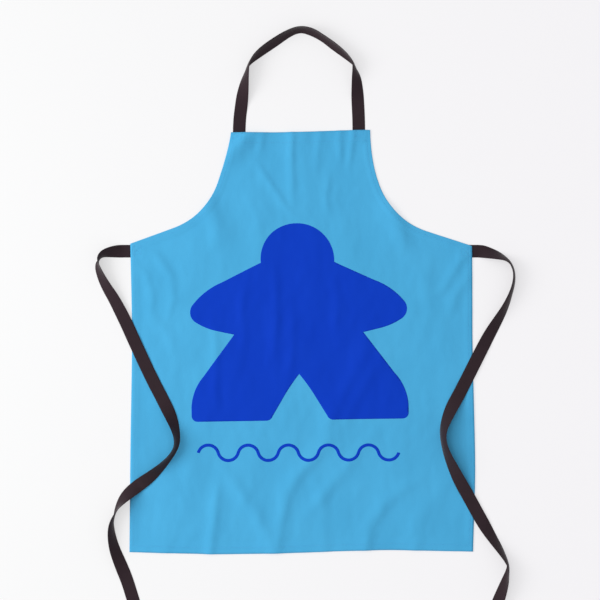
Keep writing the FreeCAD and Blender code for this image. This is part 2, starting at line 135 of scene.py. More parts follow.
# each fold: height and width in mm, lean (positive makes the right flank steep), crest points in mm,
# which run on past the edge where the fold does
folds = [
    (7.7, 17, -0.6, [(-80, 470), (-97, 420), (-112, 394), (-132, 368), (-152, 340)]),
    (1.4, 9, 0.2, [(-70, 450), (-76, 392), (-88, 350)]),
    (2.7, 10, 0.4, [(-20, 500), (-19, 400), (-18, 330), (-14, 240)]),
    (2.0, 9, 0.4, [(-92, 366), (-62, 316), (-32, 268), (-8, 236)]),
    (1.9, 52, 0.0, [(2, 520), (-4, 380), (0, 200)]),
    (1.5, 9, 0.2, [(38, 470), (34, 392), (30, 330)]),
    (1.9, 9, 0.2, [(78, 470), (74, 400), (80, 345)]),
    (1.5, 8, 0.3, [(100, 460), (102, 400), (94, 330)]),
    (1.4, 9, 0.2, [(60, 340), (48, 290), (52, 240)]),
    (4.8, 20, -0.2, [(-196, 300), (-176, 252), (-164, 218), (-158, 170)]),
    (4.8, 20, 0.2, [(170, 306), (184, 252), (198, 216), (206, 170)]),
    (2.0, 10, 0.4, [(-330, 182), (-284, 168), (-258, 128), (-254, 84), (-272, 20)]),
    (1.7, 10, 0.3, [(-336, 160), (-306, 128), (-296, 82), (-300, 20)]),
    (1.5, 12, 0.2, [(-300, 60), (-262, 10), (-244, -50)]),
    (2.2, 11, 0.3, [(336, 184), (304, 148), (284, 108), (262, 84)]),
    (1.9, 11, 0.2, [(336, 140), (304, 92), (288, 40)]),
    (1.5, 13, 0.2, [(262, 190), (244, 130), (250, 60), (240, 0)]),
    (2.0, 11, 0.3, [(-172, 60), (-168, -20), (-170, -90), (-168, -160)]),
    (1.5, 10, 0.2, [(-110, 130), (-118, 60), (-112, -20)]),
    (1.9, 10, 0.2, [(-58, 170), (-52, 110), (-50, 40), (-58, -50)]),
    (1.7, 10, 0.2, [(-22, 80), (-18, 0), (-24, -90)]),
    (1.5, 11, 0.2, [(60, 150), (72, 70), (64, -10)]),
    (2.7, 16, 0.24, [(140, 20), (116, -40), (84, -100), (58, -155), (38, -200)]),
    (2.0, 14, 0.24, [(162, -20), (122, -88), (96, -140), (84, -180)]),
    (4.1, 16, 0.3, [(74, -160), (30, -222), (-6, -262), (-28, -300), (-42, -360), (-52, -480)]),
    (2.6, 15, 0.18, [(150, -168), (106, -224), (62, -278), (20, -328), (-10, -380)]),
    (2.9, 15, 0.24, [(-176, -210), (-150, -252), (-120, -296), (-88, -340), (-62, -390), (-50, -470)]),
    (3.1, 12, 0.3, [(-160, -250), (-170, -320), (-178, -390), (-186, -500)]),
    (2.9, 15, 0.24, [(250, -258), (200, -290), (162, -324), (134, -366), (116, -480)]),
    (1.9, 18, 0.12, [(262, -290), (230, -350), (214, -480)]),
    (1.9, 22, 0, [(-256, -300), (-270, -370), (-278, -480)]),
    (1.7, 19, 0.18, [(-214, -150), (-222, -220), (-212, -290)]),
    (1.7, 15, 0.18, [(20, -250), (44, -330), (40, -480)]),
]

# how the cloth lies: spots on the flat cut and how far each has slid on the table, in mm. The bib leans
# left, the hem sags on the left and lifts on the right, and the sides are drawn in a little;
# the middle has not slid.
slides = np.array([
    (-123, 415, -3, -3), (0, 415, 0, -2), (123, 415, 0, 2),
    (-150, 333, -8, 2), (150, 333, -4, -1), (-214, 239, -3, 4), (214, 239, -3, -4),
    (-340, 178, 0, 2), (340, 178, -1, -2), (-340, 0, 4, 0), (340, 0, -1, 0),
    (-340, -220, 2, 0), (340, -250, 3, 0), (-340, -415, 1, 0), (340, -415, -2, 1),
    (-160, -415, 0, -4), (0, -415, 0, -1), (160, -415, 0, 4),
    (0, 240, 0, 0), (0, 0, 0, 0), (-200, 130, 0, 0), (200, 130, 0, 0), (-200, -40, 0, 0),
    (200, -40, 0, 0), (-200, -200, 0, 0), (200, -200, 0, 0), (0, -280, 0, 0),
]) * mm


def readOutline():
    # right-hand edge of the CAD panel, from the bottom corner up to the top one, as x for each y
    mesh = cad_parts["body_panel"].data
    spots = np.empty(len(mesh.vertices) * 3)
    mesh.vertices.foreach_get("co", spots)
    spots = np.unique(spots.reshape(-1, 3)[:, :2].round(6), axis=0)
    spots = spots[spots[:, 0] > 1 * mm]
    order = np.argsort(spots[:, 1])
    return spots[order]


outline = readOutline()
panelLow, panelHigh = outline[0, 1], outline[-1, 1]
corner = outline[np.argmax(np.where(outline[:, 1] > 0, outline[:, 0], 0))]


def halfWidthAt(y):
    return np.interp(y, outline[:, 1], outline[:, 0])


def smoothStep(low, high, value):
    # 0 below low, 1 above high, and 3t^2 - 2t^3 between
    t = np.clip((value - low) / (high - low), 0, 1)
    return t * t * (3 - 2 * t)


def foldHeights(x, y):
    # each fold is a bell across its crest line, height * exp(-(distance / width)^2), with one flank
    # narrower by the lean, and it fades out over the last third of its line at both ends
    total = np.zeros_like(x)
    for height, width, lean, crest in folds:
        crest = np.array(crest) * mm
        lengths = np.hypot(*np.diff(crest, axis=0).T)
        starts = np.concatenate([[0], np.cumsum(lengths)])
        nearest = np.full(x.shape, 1e9)
        side = np.zeros_like(x)
        place = np.zeros_like(x)
        for a, b, length, start in zip(crest[:-1], crest[1:], lengths, starts):
            along = (b - a) / length
            t = (x - a[0]) * along[0] + (y - a[1]) * along[1]
            clamped = np.clip(t, 0, length)
            dx, dy = x - a[0] - along[0] * clamped, y - a[1] - along[1] * clamped
            distance = np.hypot(dx, dy)
            closer = distance < nearest
            nearest = np.where(closer, distance, nearest)
            side = np.where(closer, np.sign(dx * -along[1] + dy * along[0]), side)
            place = np.where(closer, (start + clamped) / starts[-1], place)
        flank = width * mm * (1 - 0.5 * lean * np.clip(side, 0, 1))
        bell = np.exp(-(nearest / flank) ** 2)
        fade = smoothStep(-0.05, 0.33, place) * smoothStep(-0.05, 0.33, 1 - place)
        total += height * mm * bell * fade
    return total


def rippleHeights(x, y):
    # a sum of sines whose wavelengths run from 16 to 150 mm, most of them across the cloth, each as
    # high as its wavelength times the same slope
    random = np.random.default_rng(cloth["seed"])
    total = np.zeros_like(x)
    for wave in np.geomspace(16, 150, 30) * mm:
        angle = random.normal(math.radians(6), 0.3)
        phase = random.uniform(0, 2 * math.pi)
        across = x * math.cos(angle) + y * math.sin(angle)
        bend = 0.9 * np.sin(2 * math.pi * y / (wave * 2.7) + 3 * phase)
        swell = 0.6 + 0.4 * np.sin(2 * math.pi * y / (wave * 4.3) + 2 * phase)
        total += wave * swell * np.sin(2 * math.pi * across / wave + phase + bend)
    total *= cloth["ripple"] * (0.45 + 0.55 * smoothStep(0, cloth["calmEdge"], fromEdge(x, y)))
    floor = cloth["rippleBase"]
    return floor / 2 + total / 2 + np.sqrt((floor + total) ** 2 + (0.2 * floor) ** 2) / 2


def fromEdge(x, y):
    # shortest way to the side edge or armhole, the least of the distances to the outline's segments
    least = np.full(x.shape, 1.0)
    for a, b in zip(outline[:-1], outline[1:]):
        along = b - a
        t = ((np.abs(x) - a[0]) * along[0] + (y - a[1]) * along[1]) / (along @ along)
        t = np.clip(t, 0, 1)
        least = np.minimum(least, np.hypot(np.abs(x) - a[0] - along[0] * t, y - a[1] - along[1] * t))
    return least


def underlay(x, y):
    # thicknesses of double cloth or tape under the panel: 1 over hems and tie seats, 2 where the
    # neck strap lies under the top hem, easing to 0 inside
    ease = cloth["ease"]
    over = smoothStep(-ease, 0, cloth["sideHem"] - fromEdge(x, y))
    over = np.maximum(over, smoothStep(-ease, 0, y - panelHigh + cloth["topHem"]))
    over = np.maximum(over, smoothStep(-ease, 0, panelLow + cloth["bottomHem"] - y))
    seat = smoothStep(-ease, 0, np.abs(x) - corner[0] + cloth["tieSeat"])
    seat = seat * smoothStep(-ease, 0, y - corner[1] + cloth["tieSeat"])
    strap = np.maximum(smoothStep(-ease, 0, cloth["tieSeat"] / 2 - np.abs(x - cloth["strapLeft"])),
                       smoothStep(-ease, 0, cloth["tieSeat"] / 2 - np.abs(x - cloth["strapRight"])))
    return np.maximum(over, seat) + strap * smoothStep(-ease, 0, y - panelHigh + cloth["strapSeat"])


def clothHeights(x, y):
    # middle of the cloth above the floor: what lies under it, its folds and its unevenness
    resting = 0.5 * cloth["thickness"] + 0.12 * mm
    return resting + cloth["hemThickness"] * underlay(x, y) + foldHeights(x, y) + rippleHeights(x, y)


def slid(x, y):
    # thin-plate spline through the slides: a plane plus the sum of weight * r^2 * ln(r)
    spots, moves = slides[:, :2] / mm, slides[:, 2:]

    def kernel(square):
        return 0.5 * square * np.log(square + 1e-9)

    count = len(spots)
    apart = ((spots[:, None] - spots[None]) ** 2).sum(-1)
    plane = np.c_[np.ones(count), spots]
    system = np.block([[kernel(apart) + 20.0 * np.eye(count), plane], [plane.T, np.zeros((3, 3))]])
    weights = np.linalg.solve(system, np.r_[moves, np.zeros((3, 2))])
    flat = np.stack([x, y], axis=-1) / mm
    total = weights[count] + flat @ weights[count + 1:]
    for spot, weight in zip(spots, weights):
        total = total + kernel(((flat - spot) ** 2).sum(-1))[..., None] * weight
    return x + total[..., 0], y + total[..., 1]


def layPanel():
    # grid rows step evenly up the outline, columns evenly from one edge to the other
    lengths = np.hypot(*np.diff(outline, axis=0).T)
    run = np.concatenate([[0], np.cumsum(lengths)])
    atCorner = run[np.argmin(np.abs(outline[:, 1] - corner[1]))]
    skirtRows = np.linspace(0, atCorner, round(atCorner / cloth["spacing"]) + 1)
    bibRows = np.linspace(atCorner, run[-1], round((run[-1] - atCorner) / cloth["spacing"]) + 1)
    rowY = np.interp(np.concatenate([skirtRows, bibRows[1:]]), run, outline[:, 1])
    columns = round(2 * outline[0, 0] / cloth["spacing"]) + 1
    across = np.linspace(-1, 1, columns)
    y = np.repeat(rowY[:, None], columns, axis=1)
    x = across[None, :] * halfWidthAt(y)
    return rowY, across, np.stack([*slid(x, y), clothHeights(x, y)], axis=-1)


rowY, columnShare, panelPoints = layPanel()


def gridNormals(points):
    # cross product of the steps along the columns and along the rows
    normal = np.cross(np.gradient(points, axis=1), np.gradient(points, axis=0))
    return normal / np.linalg.norm(normal, axis=-1, keepdims=True)


panelNormals = gridNormals(panelPoints)


def onGrid(row, column, lift=0.0):
    # the spot at a grid place, and the normal there, weighted within the triangle that holds it
    i = np.clip(row.astype(int), 0, len(rowY) - 2)
    j = np.clip(column.astype(int), 0, len(columnShare) - 2)
    a, b = (row - i)[..., None], (column - j)[..., None]

    def weighted(field):
        start, end = field[i, j], field[i + 1, j + 1]
        lower = start + b * (field[i, j + 1] - start) + a * (end - field[i, j + 1])
        upper = start + a * (field[i + 1, j] - start) + b * (end - field[i + 1, j])
        return np.where(b >= a, lower, upper)

    normal = weighted(panelNormals)
    return weighted(panelPoints) + normal * lift, normal


rowHalf = halfWidthAt(rowY)


def gridPlace(x, y):
    # grid row and column, as fractions, of a spot on the flat cut
    row = np.interp(y, rowY, np.arange(len(rowY)))
    column = (np.clip(x / np.interp(y, rowY, rowHalf), -1, 1) + 1) / 2 * (len(columnShare) - 1)
    return row, column


def onCloth(x, y, lift=0.0):
    # where a spot of the flat cut lies on the folded cloth, and the normal there
    return onGrid(*gridPlace(np.asarray(x, float), np.asarray(y, float)), lift)


def clothTop(x, y):
    # height of the cloth's upper face, or 0 outside the panel
    inside = (np.abs(x) < halfWidthAt(y) + 2 * mm) & (y > panelLow - 2 * mm) & (y < panelHigh + 2 * mm)
    spot, normal = onCloth(x, np.clip(y, panelLow, panelHigh))
    return np.where(inside, spot[..., 2] + cloth["thickness"] / 2, 0.0)


print("cloth laid:", panelPoints.shape[0] * panelPoints.shape[1], "points")


# Tapes: neck strap and ties, one flat woven tape each along its own route

tape = {
    "width": 25 * mm,
    "thickness": 0.8 * mm,
    "step": 4 * mm,             # between cross-sections
    "clearance": 0.25 * mm,
    "endFold": 12 * mm,
    "bow": 3.5 * mm,            # how far the tape's middle bulges where it stands on edge
}

# across, along in mm and tilt in degrees: 0 lies flat, 90 stands on edge with the left edge up, -90
# with the right edge up, and 180 either way lies on the other face
leftTieRoute = [
    (-312, 178, 0), (-340, 178, 0), (-354, 178, 0), (-370, 177, -28), (-390, 173, -58),
    (-400.5, 163, -90), (-402, 150, -119), (-395, 130, -133), (-384, 108, -147), (-369, 84, -160),
    (-348, 43, -180), (-329, 0, -180), (-296, -71, -180), (-272, -117, -178), (-255, -150, -213),
    (-245, -179, -241), (-243.5, -203, -250), (-254, -223, -250), (-274, -245, -235),
    (-296, -265, -208), (-322, -284, -180), (-344, -301, -149), (-360, -320, -116),
    (-371, -342, -90), (-375, -368, -66), (-369, -404, -45), (-357, -436, -23), (-343.5, -471, 0),
    (-332, -509, 0), (-318, -552, 0), (-306, -595, 0), (-300, -640, 0),
]
rightTieRoute = [
    (312, 178, 0), (340, 178, 0), (354, 178, 0), (369, 174.5, -28), (388, 169, -50),
    (402, 162.5, -70), (411, 151, -84), (416.5, 134, -80), (416, 114, -73), (410, 92, -65),
    (400, 67, -51), (386, 42, -35), (371, 16, -16), (353, -19, 0), (331, -63, 0), (309, -106, 0),
    (294, -132, 23), (282.5, -158, 50), (277.5, -178, 65), (279, -199, 69), (286, -221, 58),
    (297, -246, 41), (312, -276, 16), (330, -307, 0), (352, -348, 0), (373, -383, -37),
    (391, -410, -56), (402.5, -431, -74), (405, -447, -90), (400, -471, -119), (388, -508, -147),
    (374, -548, -180), (362, -592, -180), (356, -636, -180),
]
neckStrapRoute = [
    (-123, 395, 0), (-123, 430, 0), (-118.5, 466, 0), (-115, 493, -28), (-110.5, 518, -55),
    (-105.5, 536, -76), (-99.5, 549, -97), (-90, 560, -114), (-74, 573.5, -125), (-50, 590, -127),
    (-25, 606, -117), (-3, 614, -111), (20, 609, -119), (42, 596, -113), (63, 580.5, -119),
    (84, 564, -112), (97.5, 550.5, -98), (104, 537, -70), (108, 520, -42), (109.5, 500, -25),
    (111, 472, 0), (113, 432, 0), (113, 395, 0),
]


def splineThrough(points):
    # points of a NURBS spline with these control points
    curve = bpy.data.curves.new("route", "CURVE")
    curve.dimensions = "3D"
    curve.resolution_u = 16
    spline = curve.splines.new("NURBS")
    spline.points.add(len(points) - 1)
    spline.points.foreach_set("co", np.c_[points, np.ones(len(points))].ravel())
    spline.order_u = 3
    spline.use_endpoint_u = True
    holder = bpy.data.objects.new("route", curve)
    mesh = bpy.data.meshes.new_from_object(holder)
    spots = np.empty(len(mesh.vertices) * 3)
    mesh.vertices.foreach_get("co", spots)
    bpy.data.objects.remove(holder)
    bpy.data.meshes.remove(mesh)
    return spots.reshape(-1, 3)


def tapeLine(route, underCloth):
    # the middle line, heading and tilt at even steps; the middle rides half the tape's standing
    # height above whatever it lies on
    route = np.array(route, float)
    standing = np.abs(np.sin(np.radians(route[:, 2]))) * tape["width"] / 2
    line = splineThrough(np.c_[route[:, :2] * mm, standing])
    tilts = splineThrough(np.c_[route[:, 2], np.zeros((len(route), 2))])[:, 0]
    run = np.concatenate([[0], np.cumsum(np.linalg.norm(np.diff(line, axis=0), axis=1))])
    steps = np.linspace(0, run[-1], round(run[-1] / tape["step"]) + 1)
    line = np.stack([np.interp(steps, run, line[:, k]) for k in range(3)], axis=1)
    tilt = np.radians(np.interp(steps, run, tilts))
    heading = np.gradient(line[:, :2], axis=0)
    heading /= np.linalg.norm(heading, axis=1, keepdims=True)
    side = np.c_[-heading[:, 1], heading[:, 0], np.zeros(len(heading))]
    half = tape["width"] / 2
    support = np.zeros(len(line))
    for share in np.linspace(-1.1, 1.1, 9):
        spots = line[:, :2] + side[:, :2] * (share * half * np.abs(np.cos(tilt)) + share * 2 * mm)[:, None]
        support = np.maximum(support, clothTop(spots[:, 0], spots[:, 1]) + tape["clearance"])
    support = np.where(steps < underCloth, 0.0, support)
    padding = 4
    widened = np.max([np.roll(support, k) for k in range(-padding, padding + 1)], axis=0)
    support = np.where(steps < underCloth, 0.0, widened)
    kernel = np.hanning(2 * padding + 3)
    eased = np.convolve(np.pad(support, padding + 1, mode="edge"), kernel / kernel.sum(), mode="valid")
    support = np.where(steps < underCloth, 0.0, np.maximum(eased, support * 0.9))
    line[:, 2] = support + half * np.abs(np.sin(tilt)) + tape["thickness"] / 2 * np.abs(np.cos(tilt))
    return line, side, tilt, steps


def tapeProfile():
    # across and through coordinates of the section, a flat bar with round selvages
    half, thick = tape["width"] / 2, tape["thickness"] / 2
    across = np.linspace(-1, 1, 9) * (half - thick)
    turn = np.linspace(-90, 90, 5)[1:-1] * math.pi / 180
    right = np.c_[half - thick + thick * np.cos(turn), thick * np.sin(turn)]
    lower = np.c_[across, np.full(9, -thick)]
    upper = np.c_[across[::-1], np.full(9, thick)]
    left = np.c_[-(half - thick) - thick * np.cos(turn), -thick * np.sin(turn)]
    return np.concatenate([lower, right, upper, left])


def makeTape(name, route, underCloth):
    line, side, tilt, steps = tapeLine(route, underCloth)
    upwards = np.array([0.0, 0.0, 1.0])
    across = side * np.cos(tilt)[:, None] + upwards * np.sin(tilt)[:, None]
    through = side * -np.sin(tilt)[:, None] + upwards * np.cos(tilt)[:, None]
    profile = tapeProfile()
    # standing tape is bowed: bulge = bow * sin(tilt)^4 * (1 - (2 * across / width)^2)
    rounding = 1 - (2 * profile[:, 0] / tape["width"]) ** 2
    bulge = tape["bow"] * np.sin(tilt)[:, None] ** 4 * rounding
    points = (line[:, None, :] + across[:, None, :] * profile[None, :, 0, None]
              + through[:, None, :] * (profile[None, :, 1] + bulge)[..., None])
    uv = np.stack(np.broadcast_arrays(profile[None, :, 0], steps[:, None]), axis=-1)
    piece = addObject(name, gridMesh(name, points, uv, wrap=True, caps=True))
    print(name, "length", round(float(steps[-1]), 3), "m")
    return piece, line


neckStrap, neckStrapLine = makeTape("neckStrap", neckStrapRoute, 10.0)
leftTie, leftTieLine = makeTape("leftTie", leftTieRoute, 44 * mm)
rightTie, rightTieLine = makeTape("rightTie", rightTieRoute, 44 * mm)


# Pieces that ride on the cloth

def outlineLine(lowY, highY, inset, side):
    # a line that keeps an even distance inside the right (side 1) or left (side -1) edge of the panel
    run = np.concatenate([[0], np.cumsum(np.hypot(*np.diff(outline, axis=0).T))])
    start, end = np.interp([lowY, highY], outline[:, 1], run)
    steps = np.linspace(start, end, max(2, round((end - start) / cloth["spacing"])) + 1)
    spots = np.stack([np.interp(steps, run, outline[:, 0]), np.interp(steps, run, outline[:, 1])], axis=1)
    along = np.gradient(spots, axis=0)
    along /= np.linalg.norm(along, axis=1, keepdims=True)
    inward = np.stack([-along[:, 1], along[:, 0]], axis=1)
    moved = spots + inward * inset
    return moved * np.array([side, 1])


def clothGrid(name, flatX, flatY, lift, thickness):
    # a patch of cloth that follows the panel at a given distance from its middle
    spots, normals = onCloth(flatX, flatY, lift)
    piece = addObject(name, gridMesh(name, spots, np.stack([flatX, flatY], axis=-1)))
    thicken(piece, thickness, 0)
    return piece


hems = {
    "edge": 0.4 * mm,           # hems stop this far inside the fold
    "lift": -(cloth["thickness"] + cloth["hemThickness"]) / 2,
    "stitchInset": 2 * mm,      # stitch line in from the hem's inner edge
    "columns": 5,
}


def straightHem(name, lowY, highY, margin):
    y = np.linspace(lowY, highY, hems["columns"])[:, None] * np.ones((1, 90))
    x = np.linspace(-1, 1, 90)[None, :] * (halfWidthAt(y) - margin)
    return clothGrid(name, x, y, hems["lift"], cloth["hemThickness"])


def edgeHem(name, lowY, highY, side):
    insets = np.linspace(hems["edge"], cloth["sideHem"], hems["columns"])
    band = np.stack([outlineLine(lowY, highY, inset, side) for inset in insets], axis=0)
    if side > 0:
        band = band[:, ::-1]
    return clothGrid(name, band[..., 0], band[..., 1], hems["lift"], cloth["hemThickness"])


seatLow, seatHigh = corner[1] - cloth["tieSeat"], corner[1] + 9 * mm
bibEnd, skirtEnd = panelHigh - cloth["topHem"], panelLow + cloth["bottomHem"]
topHem = straightHem("topHem", bibEnd, panelHigh - hems["edge"], hems["edge"])
bottomHem = straightHem("bottomHem", panelLow + hems["edge"], skirtEnd, hems["edge"])
bothSides = (("left", -1), ("right", 1))
sideHems = [edgeHem(word + "SideHem", skirtEnd, seatLow, side) for word, side in bothSides]
facings = [edgeHem(word + "ArmholeFacing", seatHigh, bibEnd, side) for word, side in bothSides]

panel = addObject("bodyPanel", gridMesh("bodyPanel", panelPoints, np.stack(
    [columnShare[None, :] * rowHalf[:, None], np.repeat(rowY[:, None], len(columnShare), axis=1)],
    axis=-1), split=True))
thicken(panel, cloth["thickness"], 0)


# Prints: films of ink with the CAD outline, cut fine enough to follow the folds

ink = {"thickness": 0.14 * mm, "lift": 0.12 * mm}


def cutAlong(shape, normal, places):
    # splits every face where normal . position equals one of the places
    scale = float(np.dot(normal, normal))
    for place in places:
        spot = tuple(place * n / scale for n in normal)
        everything = shape.verts[:] + shape.edges[:] + shape.faces[:]
        bmesh.ops.bisect_plane(shape, geom=everything, plane_co=spot, plane_no=normal, dist=1e-7)


def meshSpots(mesh):
    spots = np.empty(len(mesh.vertices) * 3)
    mesh.vertices.foreach_get("co", spots)
    return spots.reshape(-1, 3)


def between(values):
    return np.arange(math.floor(values.min()) + 1, math.ceil(values.max()))


def inkFilm(name, node):
    # the upper face of the CAD print, cut along the cloth's own rows, columns and diagonals, so that
    # each piece of film lies flat on one triangle of cloth
    shape = bmesh.new()
    shape.from_mesh(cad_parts[node].data)
    bmesh.ops.remove_doubles(shape, verts=shape.verts, dist=0.001 * mm)
    bmesh.ops.delete(shape, geom=[face for face in shape.faces if face.normal.z < 0.5], context="FACES")
    low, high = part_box(node)
    cutAlong(shape, (0, 1, 0), rowY[(rowY > low[1]) & (rowY < high[1])])
    mesh = bpy.data.meshes.new(name)
    shape.to_mesh(mesh)
    flat = meshSpots(mesh)
    row, column = gridPlace(flat[:, 0], flat[:, 1])
    mesh.vertices.foreach_set("co", np.stack([column, row, 0 * row], axis=1).ravel())
    shape.clear()
    shape.from_mesh(mesh)
    cutAlong(shape, (1, 0, 0), between(column))
    cutAlong(shape, (1, -1, 0), between(column - row))
    bmesh.ops.remove_doubles(shape, verts=shape.verts, dist=1e-3)
    shape.to_mesh(mesh)
    shape.free()
    column, row = meshSpots(mesh)[:, 0], meshSpots(mesh)[:, 1]
    spots, normals = onGrid(row, column, cloth["thickness"] / 2 + ink["lift"])
    mesh.vertices.foreach_set("co", spots.ravel())
    y = np.interp(row, np.arange(len(rowY)), rowY)
    x = (column / (len(columnShare) - 1) * 2 - 1) * np.interp(y, rowY, rowHalf)
    setUv(mesh, np.stack([x, y], axis=1))
    mesh.polygons.foreach_set("use_smooth", [True] * len(mesh.polygons))
    piece = addObject(name, mesh)
    thicken(piece, ink["thickness"], 0)
    return piece


pawnPrint = inkFilm("pawnPrint", "pawn_print")
wavePrint = inkFilm("wavePrint", "wave_print")
print("prints:", len(pawnPrint.data.polygons), "and", len(wavePrint.data.polygons), "faces")


# Stitches

stitch = {"pitch": 3.2 * mm, "length": 2.6 * mm, "radius": 0.24 * mm, "arch": 0.2 * mm}


def resampled(line, pitch):
    run = np.concatenate([[0], np.cumsum(np.linalg.norm(np.diff(line, axis=0), axis=1))])
    places = np.arange(pitch / 2, run[-1], pitch)
    return np.stack([np.interp(places, run, line[:, k]) for k in range(line.shape[1])], axis=1)


def stitchMesh(name, middles, alongs, normals):
    # each stitch is a six-sided thread whose ends dip into the cloth: its middle line is an arc,
    # height = arch * (1 - share^2), and its radius shrinks to nothing at both ends
    shares = np.array([-1, -0.82, -0.4, 0.4, 0.82, 1.0])
    radii = stitch["radius"] * np.sqrt(np.clip(1.02 - shares ** 4, 0.05, 1))
    lifts = stitch["arch"] * (1 - 1.6 * shares ** 2)
    turn = np.arange(6) * math.pi / 3
    sideways = np.cross(normals, alongs)
    line = (middles[:, None, :] + alongs[:, None, :] * (shares * stitch["length"] / 2)[None, :, None]
            + normals[:, None, :] * lifts[None, :, None])
    ring = (sideways[:, None, None, :] * np.cos(turn)[None, None, :, None]
            + normals[:, None, None, :] * np.sin(turn)[None, None, :, None])
    points = line[:, :, None, :] + ring * radii[None, :, None, None]
    count, rings, sides = points.shape[:3]
    single = gridFaces(rings, sides, wrap=True)[:, ::-1]
    faces = (single[None] + (np.arange(count) * rings * sides)[:, None, None]).reshape(-1, 4).tolist()
    firsts = np.arange(count) * rings * sides
    faces += (firsts[:, None] + np.arange(sides)).tolist()
    faces += (firsts[:, None] + (rings - 1) * sides + np.arange(sides)[::-1]).tolist()
    mesh = bpy.data.meshes.new(name)
    mesh.from_pydata(points.reshape(-1, 3).tolist(), [], faces)
    uv = np.broadcast_to(np.stack(np.meshgrid(shares, turn, indexing="ij"), -1), (count, rings, sides, 2))
    setUv(mesh, uv.reshape(-1, 2))
    mesh.polygons.foreach_set("use_smooth", [True] * len(mesh.polygons))
    return addObject(name, mesh)


def seam(name, lines):
    # rows of stitches on the cloth along lines given on the flat cut
    middles, alongs, normals = [], [], []
    for line in lines:
        flat = resampled(np.asarray(line, float), stitch["pitch"])
        spots, normal = onCloth(flat[:, 0], flat[:, 1], cloth["thickness"] / 2)
        along = np.gradient(spots, axis=0)
        along /= np.linalg.norm(along, axis=1, keepdims=True)
        middles.append(spots)
        alongs.append(along)
        normals.append(normal)
    return stitchMesh(name, np.concatenate(middles), np.concatenate(alongs), np.concatenate(normals))


def levelLine(y, margin):
    x = np.linspace(-1, 1, 60) * (halfWidthAt(y) - margin)
    return np.stack([x, np.full(60, y)], axis=1)


def boxLines(node):
    # the four sides of the CAD box stitch and its two diagonals
    low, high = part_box(node)
    corners = [(low[0], low[1]), (high[0], low[1]), (high[0], high[1]), (low[0], high[1])]
    sides = [(corners[k], corners[(k + 1) % 4]) for k in range(4)]
    return [np.array(pair) for pair in sides + [(corners[0], corners[2]), (corners[1], corners[3])]]


seams = [(seam("topHemThread", [levelLine(bibEnd + hems["stitchInset"], 1 * mm)]), "top_hem_thread"),
         (seam("bottomHemThread", [levelLine(skirtEnd - hems["stitchInset"], 1 * mm)]), "bottom_hem_thread")]
for word, side in (("left", -1), ("right", 1)):
    inset = cloth["sideHem"] - hems["stitchInset"]
    skirtLine = outlineLine(skirtEnd, seatLow + 22 * mm, inset, side)
    bibLine = outlineLine(seatHigh, bibEnd, inset, side)
    seams.append((seam(word + "SideThread", [skirtLine]), word + "_side_thread"))
    seams.append((seam(word + "ArmholeThread", [bibLine]), word + "_armhole_thread"))
    for place in ("strap", "tie"):
        node = word + "_" + place + "_stitch"
        seams.append((seam(word + place.title() + "Stitch", boxLines(node)), node))
print("seams:", sum(len(piece.data.polygons) for piece, node in seams), "faces")


# Turned ends of the ties

def tieEnd(word, line):
    # the last stretch folds back over itself: a straight run on top, then a half turn round the edge
    thick = tape["thickness"]
    heading = line[-1] - line[-4]
    heading[2] = 0
    heading /= np.linalg.norm(heading)
    side = np.array([-heading[1], heading[0], 0])
    turn = np.linspace(90, -90, 9) * math.pi / 180
    along = np.concatenate([np.linspace(-tape["endFold"], 0, 5)[:-1], thick / 2 * np.cos(turn)])
    height = np.concatenate([np.full(4, thick / 2), thick / 2 * np.sin(turn)]) + thick / 2
    middle = line[-1] + heading * along[:, None] + np.array([0, 0, 1]) * height[:, None]
    stepping = np.gradient(np.stack([along, height], axis=1), axis=0)
    stepping /= np.linalg.norm(stepping, axis=1, keepdims=True)
    through = heading * -stepping[:, 1:] + np.array([0, 0, 1]) * stepping[:, :1]
    profile = tapeProfile()
    points = (middle[:, None, :] + side * profile[None, :, 0, None]
              + through[:, None, :] * profile[None, :, 1, None])
    uv = np.stack(np.broadcast_arrays(profile[None, :, 0], along[:, None]), axis=-1)
    fold = addObject(word + "TieEndFold", gridMesh(word + "TieEndFold", points, uv, wrap=True, caps=True))
    back = line[-1] - heading * (tape["endFold"] - 2 * mm) + np.array([0, 0, 1]) * thick * 1.5
    reach = tape["width"] / 2 - 1.5 * mm
    spots = resampled(np.stack([back - side * reach, back + side * reach]), stitch["pitch"])
    ones = np.ones((len(spots), 1))
    thread = stitchMesh(word + "TieEndThread", spots, ones * side, ones * np.array([0.0, 0.0, 1.0]))
    return fold, thread


leftTieEnd = tieEnd("left", leftTieLine)
rightTieEnd = tieEnd("right", rightTieLine)


# Finishes

class Signal:
    # a shader value that takes part in sums: each operator adds one Math node
    def __init__(self, tree, socket):
        self.tree = tree
        self.socket = socket

    def math(self, operation, *values):
        node = self.tree.nodes.new("ShaderNodeMath")
        node.operation = operation
        for slot, value in zip(node.inputs, values):
            connect(self.tree, slot, value)
        return Signal(self.tree, node.outputs[0])

    def __add__(self, other):
        return self.math("ADD", self, other)

    def __sub__(self, other):
        return self.math("SUBTRACT", self, other)

    def __rsub__(self, other):
        return self.math("SUBTRACT", other, self)

    def __mul__(self, other):
        return self.math("MULTIPLY", self, other)

    __radd__ = __add__
    __rmul__ = __mul__

    def sine(self):
        return self.math("SINE", self)

    def absolute(self):
        return self.math("ABSOLUTE", self)

    def above(self, limit):
        return self.math("GREATER_THAN", self, limit)


def connect(tree, slot, value):
    if isinstance(value, Signal):
        tree.links.new(value.socket, slot)
    else:
        slot.default_value = value


